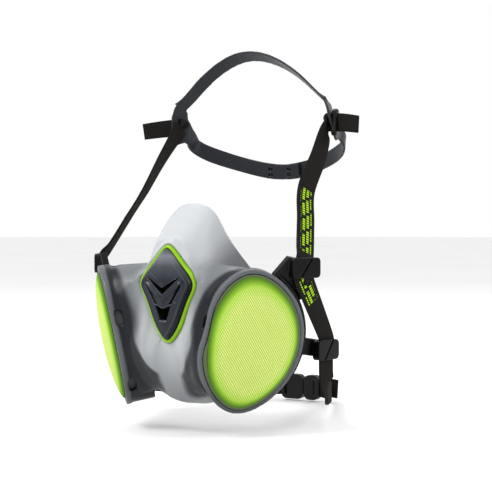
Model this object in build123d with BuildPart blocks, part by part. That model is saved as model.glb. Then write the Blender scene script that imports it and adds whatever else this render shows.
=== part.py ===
from build123d import *

import os
from math import cos, radians, sin

# Half-mask respirator: facepiece with two filter pods, an exhalation valve, and straps to a head cradle.
#
# Frame: +Z up, the wearer looks along -Y and +X is the wearer's left. The origin is the middle of the face
# opening. Pieces that come in a left and a right are modelled on the wearer's left (+X) and mirrored. Millimetres.

os.makedirs("parts", exist_ok=True)

# Facepiece
WALL = 2.6  # moulded wall
CHEEK = 54.0  # half width of the face opening
FRONT_Y = -62.0  # flat front pad that carries the exhalation valve

# Filter pods: an egg-shaped rim on a plane that faces forward, outward and a little down
POD_CENTRE = (58.0, -48.6, -20.4)
POD_YAW, POD_PITCH = 50.4, -11.5  # of the rim plane's normal, from straight ahead
POD_DEPTH, POD_SLANT = 16.0, 0.13  # at the middle, and how much deeper per mm further down
PORT_DEPTH = 20.0  # the inhalation port starts this far behind the rim
RIM = 3.2  # width of the moulded lip round the canister
RIM_POINTS = ((-37, 3), (-32.5, -27), (-11, -46.5), (20, -34), (36.8, 3), (27, 35), (-7, 53.5), (-30, 34))
ROOT_POINTS = ((-35, 2), (-31, -24), (-10, -42), (14, -34), (27, 2), (18, 32), (-8, 44), (-28, 30))
PORT_R = 11.0  # inhalation port
WINDOWS = ((-35.5, 17.0, 8), (-30.5, -32.0, 32))  # clip windows in the inner side wall, and how far they lean
WINDOW_BACK = 5.5  # their middle behind the rim plane
FIT = 0.15  # clearance of a rigid piece in its moulded pocket
CAN_WALL = 1.5
PAD = 5.5  # thickness of the particulate pad
FRAME_T = 2.0  # ring that holds the mesh cover
DOME = 7.0  # height of the mesh cover
MESH_T = 0.8

# Valves
VALVE_Z = 18.0
SEAT_R, FLAP_R, FLAP_T = 13.5, 11.5, 0.8
FLAP_GAP = 0.3
KITE = ((0, 51.5), (24.0, 23), (0, -24))  # top, widest and lowest point of the bezel
KITE_ROUND = 7.0
BEZEL_W, BEZEL_T = 3.2, 6.0
COVER_T, COVER_WALL = 9.5, 1.8

# Harness
WEB_W, WEB_T = 15.0, 1.5  # elastic webbing
GUIDE_W, GUIDE_H, GUIDE_T = 22.0, 14.0, 6.4
GUIDE_SLOT_W, GUIDE_SLOT_T = 17.5, 3.4
UPPER_GUIDE = (85.0, -26.0, 33.0)
LOWER_GUIDE = (86.0, 4.0, -25.0)
GUIDE_YAWS = (60.0, 78.0)  # the way the upper and lower guides face, from straight ahead
SWING = 14.0  # free radius round a joint that a strap turns on
YOKE = (65.5, 54.0, 136.0)
BAND_W, BAND_T = 12.0, 1.5
CLASP = (0.0, 132.0, -71.0)


def facing(origin, yaw, pitch=0.0):
    """A plane that faces forward (-Y), turned yaw degrees outward (+X) and pitch degrees up. Its x runs back."""
    y, p = radians(yaw), radians(pitch)
    return Plane(origin=origin, x_dir=(cos(y), sin(y), 0), z_dir=(sin(y) * cos(p), -cos(y) * cos(p), sin(p)))


def closed_curve(plane, points, inset=0.0):
    """A smooth closed outline through counterclockwise points, as a face on plane. inset moves each point inward."""
    moved = []
    for k, (x, y) in enumerate(points):
        (x0, y0), (x1, y1) = points[k - 1], points[(k + 1) % len(points)]
        inward = Vector(y0 - y1, x1 - x0).normalized()  # square to the chord between its neighbours
        moved.append((x + inset * inward.X, y + inset * inward.Y))
    with BuildSketch(plane) as outline:
        with BuildLine():
            Spline(*moved, periodic=True)
        make_face()
    return outline.sketch


def cup_section(y, top, nose, nose_z, cheek, cheek_z, jaw, jaw_z, bottom):
    """One pear-shaped cross-section of the face cup, across Y."""
    brow = (0.72 * nose, top - 0.26 * (top - nose_z))  # keeps the nose round
    right = (brow, (nose, nose_z), (cheek, cheek_z), (jaw, jaw_z))
    points = [(0, top), *right, (0, bottom), *[(-x, z) for x, z in reversed(right)]]
    return closed_curve(Plane.XZ.offset(-y), points)


def cup(inset):
    """Cross-sections of the face cup from behind the face opening to the front pad, moved in by inset."""
    i, lip = inset, 3 * inset  # the opening's edge turns inward
    return [
        cup_section(8, 82 - lip, 23 - i, 55, CHEEK - lip, -10, 36 - lip, -48, -69 + lip),
        cup_section(-14, 80.5 - i, 23 - i, 55, CHEEK - 2 - i, -10, 34 - i, -47, -66.5 + i),
        cup_section(-34, 75.5 - i, 22 - i, 51, 47 - i, -8, 30 - i, -46, -65 + i),
        cup_section(-51, 61 - i, 20 - i, 43, 36 - i, 2, 28 - i, -43, -60.5 + i),
        cup_section(FRONT_Y + i, 54 - i, 16 - i / 2, 38, 26 - i, 16, 18 - i, -18, -36 + i),
    ]


def kite(plane, inset=0.0):
    """The bezel's rounded kite outline as a face on plane, moved in by inset."""
    (top_x, top_z), (side_x, side_z), (low_x, low_z) = KITE
    with BuildSketch(plane) as outline:
        with BuildLine():
            Polyline((top_x, top_z), (side_x, side_z), (low_x, low_z), (-side_x, side_z), close=True)
        make_face()
        fillet(outline.vertices(), KITE_ROUND)
        if inset:
            offset(amount=-inset)
    return outline.sketch


def ribbon(points, normals, width=WEB_W, thick=WEB_T, ruled=False):
    """A flat band through points as one loft. normals gives the way its flat side faces at each point."""
    wires = []
    for k, (point, normal) in enumerate(zip(points, normals)):
        ahead = Vector(*points[min(k + 1, len(points) - 1)]) - Vector(*points[max(k - 1, 0)])
        with BuildSketch(Plane(origin=point, x_dir=Vector(*normal).cross(ahead), z_dir=ahead)) as section:
            Rectangle(width, thick)
        wires.append(section.sketch.face().outer_wire())
    return Solid.make_loft(wires, ruled)


def save(part, name):
    """Label a piece and write it; a piece of the wearer's left is also written mirrored, for the right."""
    part.label = name
    export_step(part, f"parts/{name}.step")
    if name.endswith("_left"):
        twin = mirror(part, about=Plane.YZ, mode=Mode.PRIVATE)
        twin.label = name.replace("_left", "_right")
        export_step(twin, f"parts/{twin.label}.step")


POD = facing(POD_CENTRE, POD_YAW, POD_PITCH)
POD_BACK = Plane(
    origin=POD.origin - POD_DEPTH * POD.z_dir, x_dir=POD.x_dir, z_dir=POD.z_dir - POD_SLANT * POD.y_dir
)  # a pod is deepest at its foot
POD_ROOT = Plane(origin=(14, -38, -8), x_dir=(0.25, 0.97, 0), z_dir=(0.97, -0.25, 0))  # where the pod leaves the cup


def pod_block(front, back, inset=0.0):
    """A block of the pod's outline, from front, counted from the rim plane, to the back plane moved forward by back."""
    with BuildPart() as block:
        extrude(closed_curve(POD.offset(front), RIM_POINTS, inset), amount=-2 * POD_DEPTH)
        split(bisect_by=POD_BACK.offset(back), keep=Keep.TOP)
    return block.part


PAD_PLANE = Plane.XZ.offset(-FRONT_Y)
VALVE_PLANE = Plane(origin=(0, FRONT_Y, VALVE_Z), x_dir=(1, 0, 0), z_dir=(0, -1, 0))

# ---- Facepiece -----------------------------------------------------------------------------------
with BuildPart() as pod_form:  # one pod, from the middle of the cup out to its rim
    add(pod_block(0, 0))
    loft([closed_curve(POD_ROOT, ROOT_POINTS), closed_curve(POD.offset(-6), RIM_POINTS, 0.8)])
    with BuildSketch(POD.offset(-PORT_DEPTH - 2 * WALL)):  # boss round the inhalation port
        Circle(PORT_R + WALL)
    extrude(amount=PORT_DEPTH - POD_DEPTH / 2)

with BuildPart() as pod_room:  # the pocket and the wall behind it, kept out of the breathing room
    extrude(closed_curve(POD.offset(-PORT_DEPTH - 2 * WALL), RIM_POINTS, RIM - WALL), amount=3 * PORT_DEPTH)

with BuildPart() as cavity:  # room for the nose and mouth
    loft(cup(WALL))
    add(pod_room.part, mode=Mode.SUBTRACT)
    add(mirror(pod_room.part, about=Plane.YZ, mode=Mode.PRIVATE), mode=Mode.SUBTRACT)

with BuildPart() as pod_cuts:  # canister pocket, inhalation port and two clip windows
    add(pod_block(0, WALL, RIM))
    with BuildSketch(POD.offset(-POD_DEPTH / 2)):
        Circle(PORT_R)
    extrude(amount=-PORT_DEPTH - 2 * WALL)
    with Locations(*[POD.location * Location((a, b, -WINDOW_BACK), (0, 0, lean)) for a, b, lean in WINDOWS]):
        Box(10, 9.5, 4.5)

with BuildPart() as face_form:  # the face: the sealing edge is back at the cheeks, forward at the nose and chin
    with BuildSketch(Plane.YZ):
        with BuildLine():
            seal = Spline((-29, 100), (-30, 74), (-14, 40), (0, -6), (-6, -40), (-17, -66), (-20, -90))
            Polyline(seal @ 1, (60, -90), (60, 100), seal @ 0)
        make_face()
    extrude(amount=90, both=True)

with BuildPart() as facepiece:
    loft(cup(0))
    add(pod_form.part)
    add(mirror(pod_form.part, about=Plane.YZ, mode=Mode.PRIVATE))
    add(cavity.part, mode=Mode.SUBTRACT)
    add(face_form.part, mode=Mode.SUBTRACT)
    add(pod_cuts.part, mode=Mode.SUBTRACT)
    add(mirror(pod_cuts.part, about=Plane.YZ, mode=Mode.PRIVATE), mode=Mode.SUBTRACT)
    with BuildSketch(VALVE_PLANE):
        Circle(SEAT_R)
    extrude(amount=4 * WALL, both=True, mode=Mode.SUBTRACT)
    extrude(kite(PAD_PLANE, -FIT), amount=30, mode=Mode.SUBTRACT)  # the pods leave room for the bezel
save(facepiece.part, "facepiece")

# ---- Filter in each pod: canister, carbon bed, particulate pad, frame ring and domed mesh --------
CAN_INSET = RIM + FIT
CAN_BACK = WALL + FIT  # the canister's underside, in front of the pod's back
FILL_INSET = CAN_INSET + CAN_WALL + FIT
FILL_BACK = CAN_BACK + CAN_WALL + FIT

with BuildPart() as filter_canister:
    add(pod_block(-FRAME_T - FIT, CAN_BACK, CAN_INSET))
    add(pod_block(0, CAN_BACK + CAN_WALL, CAN_INSET + CAN_WALL), mode=Mode.SUBTRACT)
    with BuildSketch(POD):
        Circle(PORT_R - 2)
    extrude(amount=-2 * POD_DEPTH, mode=Mode.SUBTRACT)
save(filter_canister.part, "filter_canister_left")

pad_back = -FRAME_T - FIT - PAD  # the pad lies under the frame ring, on the carbon
with BuildPart() as carbon_bed:
    add(pod_block(pad_back - FIT, FILL_BACK, FILL_INSET))
save(carbon_bed.part, "carbon_bed_left")

with BuildPart() as particulate_pad:
    add(pod_block(-FRAME_T - FIT, FILL_BACK, FILL_INSET))
    split(bisect_by=POD.offset(pad_back), keep=Keep.TOP)
save(particulate_pad.part, "particulate_pad_left")

with BuildPart() as mesh_frame:
    extrude(closed_curve(POD.offset(-FRAME_T), RIM_POINTS, CAN_INSET), amount=FRAME_T)
    extrude(closed_curve(POD.offset(-FRAME_T), RIM_POINTS, CAN_INSET + 2.4), amount=FRAME_T, mode=Mode.SUBTRACT)
save(mesh_frame.part, "mesh_frame_left")


def dome(sink, inset):
    """Outlines of the shallow dome, from its edge to its small flat top."""
    steps = ((1.0, 0.0), (0.84, 0.44), (0.62, 0.75), (0.34, 0.95), (0.1, 1.0))  # size, height
    shrink = 1 - inset / 40
    outlines = []
    for size, height in steps:
        points = [(a * size * shrink, b * size * shrink) for a, b in RIM_POINTS]
        outlines.append(closed_curve(POD.offset(height * DOME - sink), points))
    return outlines


with BuildPart() as filter_mesh:
    loft(dome(0.2, CAN_INSET + 3))
    loft(dome(0.2 + MESH_T, CAN_INSET + 3.9), mode=Mode.SUBTRACT)
save(filter_mesh.part, "filter_mesh_left")

# ---- Inhalation valve behind each canister -------------------------------------------------------
with BuildPart() as inhale_seat:
    with BuildSketch(POD.offset(-PORT_DEPTH)):
        Circle(PORT_R - FIT)
    extrude(amount=-2 * WALL - FIT)
    with BuildSketch(POD.offset(-PORT_DEPTH - 2 * WALL - FIT)):
        Circle(PORT_R + 1.5)
    extrude(amount=-1.2)
    with BuildSketch(POD.offset(-PORT_DEPTH)):
        Circle(PORT_R - 2.4)
    extrude(amount=-4 * WALL, mode=Mode.SUBTRACT)
    with BuildSketch(POD.offset(-PORT_DEPTH - 2 * WALL - 1.2)):
        for turn in (0, 60, 120):
            with Locations((0, 0)):
                Rectangle(2 * PORT_R - 4, 1.2, rotation=turn)
        Circle(2.4)
    extrude(amount=1.2)
save(inhale_seat.part, "inhale_seat_left")

with BuildPart() as inhale_flap:
    with BuildSketch(POD.offset(-PORT_DEPTH - 2 * WALL - FIT - 1.2 - FLAP_GAP)):
        Circle(PORT_R - 1)
    extrude(amount=-0.6)
save(inhale_flap.part, "inhale_flap_left")

# ---- Exhalation valve on the front pad -----------------------------------------------------------
with BuildPart() as exhale_seat:
    with BuildSketch(VALVE_PLANE.offset(-WALL - FIT - 1.5)):
        Circle(SEAT_R + 2)
    extrude(amount=1.5)
    with BuildSketch(VALVE_PLANE.offset(-WALL - FIT - 1.5)):
        Circle(SEAT_R - FIT)
    extrude(amount=WALL + FIT + 1.5 + 2.0)
    with BuildSketch(VALVE_PLANE.offset(-WALL - FIT - 1.5)):
        Circle(SEAT_R - 3)
    extrude(amount=10, mode=Mode.SUBTRACT)
    with BuildSketch(VALVE_PLANE):
        for turn in (0, 60, 120):
            with Locations((0, 0)):
                Rectangle(2 * SEAT_R - 5, 1.4, rotation=turn)
        Circle(3)
    extrude(amount=1.5)
save(exhale_seat.part, "exhale_seat")

with BuildPart() as exhale_flap:
    with BuildSketch(VALVE_PLANE.offset(2.0 + FLAP_GAP)):
        Circle(FLAP_R)
    extrude(amount=FLAP_T)
save(exhale_flap.part, "exhale_flap")


with BuildPart() as valve_bezel:
    extrude(kite(PAD_PLANE), amount=BEZEL_T)
    extrude(kite(PAD_PLANE, BEZEL_W), amount=BEZEL_T, mode=Mode.SUBTRACT)
save(valve_bezel.part, "valve_bezel")

with BuildPart() as valve_cover:
    extrude(kite(PAD_PLANE, BEZEL_W + FIT), amount=COVER_T, taper=4)
    chamfer(valve_cover.faces().sort_by(Axis.Y)[0].edges(), 1.2)
    extrude(kite(PAD_PLANE, BEZEL_W + FIT + COVER_WALL), amount=COVER_T - COVER_WALL, taper=4, mode=Mode.SUBTRACT)
    with BuildSketch(PAD_PLANE):  # two chevron vents and a trapezoid opening below them
        for apex in (14.0, 7.5):
            with BuildLine():
                half = [(0, apex), (9, apex + 8), (9, apex + 11), (0, apex + 3.2)]
                Polyline(*half, *[(-x, z) for x, z in half[2:0:-1]], close=True)
            make_face()
        with BuildLine():
            Polyline((-6, 5), (6, 5), (3.5, -1), (-3.5, -1), close=True)
        make_face()
    extrude(amount=COVER_T + 1, mode=Mode.SUBTRACT)
save(valve_cover.part, "valve_cover")

# ---- Harness frame on the back of each pod: a crescent round the side wall with an arm to each str
GUIDES = [facing(point, yaw) for point, yaw in zip((UPPER_GUIDE, LOWER_GUIDE), GUIDE_YAWS)]

with BuildPart() as harness_frame:
    extrude(closed_curve(POD.offset(-17), RIM_POINTS, -2.8), amount=13)
    with BuildSketch(POD.offset(-18)):
        with Locations((-13, 0)):
            Rectangle(60, 140)
        with Locations((20, -52)):
            Rectangle(60, 60)
    extrude(amount=20, mode=Mode.SUBTRACT)
    for level, (start, end) in ((-9.8, ((22, 38), (31, 53))), (-15.6, ((33, -3), (56, -7)))):  # the two arms
        with BuildSketch(POD.offset(level)):
            with BuildLine(mode=Mode.PRIVATE):
                centreline = Line(start, end)
            SlotArc(centreline, 12)
        extrude(amount=3.4)
    extrude(closed_curve(POD.offset(-18), RIM_POINTS, -0.25), amount=20, mode=Mode.SUBTRACT)
    for guide in GUIDES:
        with BuildSketch(guide.offset(-GUIDE_T / 2)):
            RectangleRounded(GUIDE_W, GUIDE_H, 3)
        extrude(amount=GUIDE_T)
    for guide in GUIDES:
        with BuildSketch(guide.offset(-GUIDE_SLOT_T / 2)):
            Rectangle(GUIDE_SLOT_W, 2 * GUIDE_H)
        extrude(amount=GUIDE_SLOT_T, mode=Mode.SUBTRACT)
        with BuildSketch(guide):  # slit that lets the strap in
            Rectangle(1.2, 2 * GUIDE_H, rotation=-35)
        extrude(amount=GUIDE_T, mode=Mode.SUBTRACT)
save(harness_frame.part, "harness_frame_left")

# ---- Strap on each side: head strap above the upper guide, a short run between the guides, neck st
UP = Vector(0, 0, 1)
OUT, LOW_OUT = GUIDES[0].z_dir, GUIDES[1].z_dir  # the way the guides face
upper, lower, yoke = Vector(*UPPER_GUIDE), Vector(*LOWER_GUIDE), Vector(*YOKE)
TEMPLE = Vector(68.5, 8, 86)  # where the head strap lies on the temple
TEMPLE_LEAN = (0.88, -0.42, 0.15)
to_temple = (TEMPLE - yoke).normalized()

with BuildPart() as mid_strap:
    runs = [upper + 6.5 * UP, upper - 7.8 * UP, lower + 7.8 * UP, lower - 6.5 * UP]
    for start, outs in zip(range(3), ((OUT, OUT), (OUT, LOW_OUT), (LOW_OUT, LOW_OUT))):
        add(ribbon(runs[start : start + 2], outs))
save(mid_strap.part, "mid_strap_left")

with BuildPart() as head_strap:
    low_end = upper + (TEMPLE - upper).normalized() * SWING
    add(ribbon([low_end, TEMPLE, yoke + to_temple * SWING], [OUT, TEMPLE_LEAN, (0.98, -0.1, 0.1)]))
save(head_strap.part, "head_strap_left")

# ---- Head cradle: a yoke at each temple, a crown band, and a rear band in two halves that button t
YOKE_H, YOKE_W, YOKE_T = 26.0, 16.0, 1.8
YOKE_TURN = 15.0  # its top leans forward
SLOT_Y = -2.5  # the yoke's strap slot, ahead of its middle
YOKE_YAW = 15.0  # how far it turns back from straight sideways
YOKE_OUT = Vector(cos(radians(YOKE_YAW)), sin(radians(YOKE_YAW)), 0)
yoke_plane = Plane(origin=YOKE, x_dir=UP.cross(YOKE_OUT), z_dir=YOKE_OUT + 0.22 * UP)
yoke_top = yoke_plane.location * Location((-3.8, YOKE_H / 2 + 2.9, YOKE_T / 2))
CROWN = (yoke_top.position, (57.5, 50.4, 156), (47, 50.4, 165.5), (35, 50, 175), (18, 49, 184), (0, 48, 187.5))
CROWN_LEAN = (
    yoke_plane.z_dir, (0.84, 0.3, 0.45), (0.7, 0.36, 0.62), (0.6, 0.4, 0.72), (0.35, 0.45, 0.8), (0, 0.47, 0.88)
)
REAR = (
    (65.2, 69, 128.2), (66, 75, 123.2), (61.5, 81, 118.8), (46, 92, 112), (22, 101, 105), (0, 103, 102), (-15, 102, 103)
)
REAR_LEAN = (
    (0.98, 0.1, 0.2), (0.97, 0.2, 0.1), (0.88, 0.45, 0), (0.6, 0.8, 0), (0.25, 0.95, 0.1), (0, 1, 0.15), (-0.15, 1, 0.1)
)
NAPE = REAR[5]
LAP = 3.2  # from the middle of one lapped half to the middle of the other
BUTTONS = [(x, NAPE[2] + z) for x in (-10.5, 6.0) for z in (-2.2, 2.2)]


def flipped(vectors):
    """Points or directions of the wearer's left, for the right."""
    return [(-x, y, z) for x, y, z in (tuple(v) for v in vectors)]


with BuildPart() as cradle_yoke:
    with BuildSketch(yoke_plane):
        RectangleRounded(YOKE_W, YOKE_H, 4, rotation=YOKE_TURN)
        with Locations((SLOT_Y, 0)):
            RectangleRounded(4, WEB_W + 2, 1, mode=Mode.SUBTRACT)
    extrude(amount=YOKE_T)
save(cradle_yoke.part, "cradle_yoke_left")

with BuildPart() as crown_band:
    rest = slice(-2, None, -1)  # back down from the top
    add(ribbon([*CROWN, *flipped(CROWN)[rest]], [*CROWN_LEAN, *flipped(CROWN_LEAN)[rest]], BAND_W, BAND_T))
save(crown_band.part, "crown_band")

with BuildPart() as rear_outer:  # its buttons point inward
    add(ribbon(REAR, REAR_LEAN, BAND_W, BAND_T))
    with BuildSketch(Plane.XZ.offset(-NAPE[1])):
        with Locations(*BUTTONS):
            Circle(0.7)
    extrude(amount=LAP + 1)
save(rear_outer.part, "cradle_rear_outer")

with BuildPart() as rear_inner:  # its slots take the buttons
    lap = [LAP if x < 40 else LAP / 2 if x < 60 else 0 for x, y, z in (tuple(v) for v in REAR)]
    inner = [(x, y - move, z) for (x, y, z), move in zip(flipped(REAR), lap)]
    add(ribbon(inner, flipped(REAR_LEAN), BAND_W, BAND_T))
    with BuildSketch(Plane.XZ.offset(-NAPE[1] + LAP + 4)):
        with Locations(*BUTTONS):
            SlotOverall(3.8, 2.0)
    extrude(amount=-8, mode=Mode.SUBTRACT)
save(rear_inner.part, "cradle_rear_inner")

with BuildPart() as strap_tail:  # the end of the head strap: up to the yoke, through its slot and out
    slot = yoke_plane.from_local_coords(Vector(SLOT_Y, 0, 0))
    inner = slot - 2.4 * YOKE_OUT
    add(ribbon([inner + 7 * to_temple, inner], [YOKE_OUT] * 2))
    with BuildSketch(Plane(origin=slot - 3.2 * YOKE_OUT, x_dir=UP.cross(YOKE_OUT), z_dir=YOKE_OUT)):
        Rectangle(2.4, WEB_W - 1)
    extrude(amount=7.6)
    add(ribbon([slot + 3.8 * YOKE_OUT, (80, 48, 135), (92.5, 42, 133.2)], [(0.4, 0.9, 0)] * 3, WEB_W - 2))
save(strap_tail.part, "strap_tail_left")

# ---- Neck strap: from the lower guide round the neck to a snap clasp -----------------------------
NECK = (
    (86, 4, -33.2), (86, 4.5, -42), (84.8, 8.5, -51), (78, 23, -58.5),
    (58, 60, -65), (43, 96, -70), (32, 120, -71), (18, 131, -71),
)
NECK_LEAN = (
    LOW_OUT, LOW_OUT, (0.95, -0.2, 0.1), (0.93, 0.3, 0.1),
    (0.88, 0.45, 0), (0.93, 0.35, 0), (0.75, 0.65, 0), (0.5, 0.87, 0),
)
CLASP_H, CLASP_T = 20.0, 5.8
TONGUE_L, TONGUE_H, TONGUE_T = 8.0, 10.0, 2.0
PLAY = 0.7  # round the tongue in its socket
clasp_plane = Plane(origin=CLASP, x_dir=(1, 0, 0), z_dir=(0, -1, 0))

with BuildPart() as neck_strap:
    add(ribbon(NECK, NECK_LEAN))
save(neck_strap.part, "neck_strap_left")

with BuildPart() as clasp_hook:
    with BuildSketch(clasp_plane.offset(-CLASP_T / 2)):
        with Locations((10.2, 0)):
            RectangleRounded(13.6, CLASP_H, 5)
        with Locations((13.0, 0)):
            RectangleRounded(2.6, WEB_W - 2, 1, mode=Mode.SUBTRACT)
    extrude(amount=CLASP_T)
    with BuildSketch(clasp_plane.offset(-TONGUE_T / 2)):
        with Locations(((8 - TONGUE_L) / 2 + 0.5, 0)):
            RectangleRounded(TONGUE_L + 7, TONGUE_H, 2)
    extrude(amount=TONGUE_T)
save(clasp_hook.part, "neck_clasp_hook")

with BuildPart() as clasp_socket:
    with BuildSketch(clasp_plane.offset(-CLASP_T / 2)):
        with Locations((-7.3, 0)):
            RectangleRounded(19.8, CLASP_H, 5)
        with Locations((-13.0, 0)):
            RectangleRounded(2.6, WEB_W - 2, 1, mode=Mode.SUBTRACT)
    extrude(amount=CLASP_T)
    with BuildSketch(clasp_plane.offset(-TONGUE_T / 2 - PLAY)):
        with Locations((0, 0)):
            Rectangle(2 * (TONGUE_L + 0.5), TONGUE_H + 2 * PLAY)
    extrude(amount=TONGUE_T + 2 * PLAY, mode=Mode.SUBTRACT)
save(clasp_socket.part, "neck_clasp_socket")

with BuildPart() as neck_tail:
    add(ribbon([(13, 135.9, -71), (22, 136.6, -71), (31, 135, -71.5)], [(0, 1, 0)] * 3))
save(neck_tail.part, "neck_tail")
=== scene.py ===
from math import cos, hypot, pi, radians, sin

import bmesh
import bpy
import numpy as np
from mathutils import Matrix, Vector


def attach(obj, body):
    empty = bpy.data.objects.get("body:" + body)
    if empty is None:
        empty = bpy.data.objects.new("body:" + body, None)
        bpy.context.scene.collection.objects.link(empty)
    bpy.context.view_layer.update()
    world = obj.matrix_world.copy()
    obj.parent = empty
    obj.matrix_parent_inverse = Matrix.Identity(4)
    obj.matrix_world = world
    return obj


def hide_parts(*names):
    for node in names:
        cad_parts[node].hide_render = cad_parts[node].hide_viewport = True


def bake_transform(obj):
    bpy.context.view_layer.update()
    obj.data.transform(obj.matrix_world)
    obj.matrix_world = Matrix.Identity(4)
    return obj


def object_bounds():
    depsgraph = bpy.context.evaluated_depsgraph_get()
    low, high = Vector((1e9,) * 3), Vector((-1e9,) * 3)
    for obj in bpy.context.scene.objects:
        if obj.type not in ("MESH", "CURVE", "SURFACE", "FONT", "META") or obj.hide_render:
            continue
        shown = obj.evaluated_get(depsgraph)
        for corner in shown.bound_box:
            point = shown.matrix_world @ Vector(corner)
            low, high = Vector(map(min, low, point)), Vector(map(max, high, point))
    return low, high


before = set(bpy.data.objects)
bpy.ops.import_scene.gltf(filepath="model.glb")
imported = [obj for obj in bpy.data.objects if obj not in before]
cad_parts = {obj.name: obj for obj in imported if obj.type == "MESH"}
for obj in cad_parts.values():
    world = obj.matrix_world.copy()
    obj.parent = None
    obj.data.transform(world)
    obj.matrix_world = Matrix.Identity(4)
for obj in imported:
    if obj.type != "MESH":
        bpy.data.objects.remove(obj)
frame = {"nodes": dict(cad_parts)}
cad_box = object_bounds()

MM = 0.001
SIDES = (("left", 1), ("right", -1))  # the wearer's left is +X


# ---- Geometry helpers ----------------------------------------------------------------------------
def new_piece(name, verts, faces, body, *nodes, material=None, uvs=None):
    """A smooth mesh object that rides on body and stands for the CAD nodes."""
    mesh = bpy.data.meshes.new(name)
    mesh.from_pydata([tuple(v) for v in verts], [], faces)
    mesh.update()
    if uvs:
        layer = mesh.uv_layers.new(name="uv")
        for loop in mesh.loops:
            layer.data[loop.index].uv = uvs[loop.vertex_index]
    piece = bpy.data.objects.new(name, mesh)
    bpy.context.collection.objects.link(piece)
    mesh.polygons.foreach_set("use_smooth", [True] * len(mesh.polygons))
    if material:
        mesh.materials.append(material)
    if nodes:
        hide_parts(*nodes)
    if body:
        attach(piece, body)
    return piece


def modify(piece, kind, **settings):
    modifier = piece.modifiers.new(kind.lower(), kind)
    for key, value in settings.items():
        setattr(modifier, key, value)
    return modifier


def apply_modifiers(piece):
    """Replace the piece's mesh by its evaluated one."""
    graph = bpy.context.evaluated_depsgraph_get()
    graph.update()
    evaluated = piece.evaluated_get(graph)
    mesh = bpy.data.meshes.new_from_object(evaluated, preserve_all_data_layers=True, depsgraph=graph)
    piece.modifiers.clear()
    piece.data = mesh


def smooth_path(points, steps):
    """Catmull-Rom curve through the points, steps samples between each pair."""
    points = [Vector(p) for p in points]
    ends = [2 * points[0] - points[1], *points, 2 * points[-1] - points[-2]]
    path = []
    for p0, p1, p2, p3 in zip(ends, ends[1:], ends[2:], ends[3:]):
        for k in range(steps):
            t = k / steps
            path.append(
                0.5 * (2 * p1 + (p2 - p0) * t + (2 * p0 - 5 * p1 + 4 * p2 - p3) * t**2
                       + (3 * p1 - p0 - 3 * p2 + p3) * t**3)
            )
    return [*path, points[-1]]


INNER_FACE = 100.0  # added to the UV across a band on its inner face, which has no print


def band(name, body, nodes, points, normals, widths, thick, material, steps=10, edge=0.35, keep=None):
    """A flat band along the points (mm), or from one of them to another where keep is set.

    Its flat side faces the normals. Its UVs are millimetres along and across."""
    path = [p * MM for p in smooth_path(points, steps)]
    faces_to = smooth_path(normals, steps)
    across = smooth_path([(w, 0, 0) for w in widths], steps)
    first, last = (k * steps for k in keep or (0, len(points) - 1))
    profile = []  # half the section, as (share of half width, share of half thickness)
    for side in (1, -1):
        row = [-1, -1 + edge * 0.12, -0.86, -0.6, -0.3, 0, 0.3, 0.6, 0.86, 1 - edge * 0.12, 1]
        lift = [0.45, 0.85, 1, 1, 1, 1, 1, 1, 1, 0.85, 0.45]
        cells = [(u, side * v) for u, v in zip(row, lift)]
        profile += cells if side > 0 else cells[::-1]
    verts, uvs, length = [], [], 0.0
    for k in range(first, last + 1):
        point = path[k]
        ahead = path[min(k + 1, len(path) - 1)] - path[max(k - 1, 0)]
        ahead.normalize()
        if k > first:
            length += (point - path[k - 1]).length
        width_dir = faces_to[k].cross(ahead).normalized()
        normal = ahead.cross(width_dir)
        half = 0.5 * across[k].x * MM
        for u, v in profile:
            verts.append(point + width_dir * half * u + normal * 0.5 * thick * v * MM)
            uvs.append((length / MM, half * u / MM + (0 if v > 0 else INNER_FACE)))
    ring = len(profile)
    faces = []
    for k in range(last - first):
        for j in range(ring):
            a, b = k * ring + j, k * ring + (j + 1) % ring
            faces.append((a, b, b + ring, a + ring))
    end = (last - first) * ring
    faces += [tuple(range(ring))[::-1], tuple(range(end, end + ring))]
    return new_piece(name, verts, faces, body, *nodes, material=material, uvs=uvs)


def flipped(vectors, side):
    return [(side * x, y, z) for x, y, z in (tuple(v) for v in vectors)]


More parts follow.
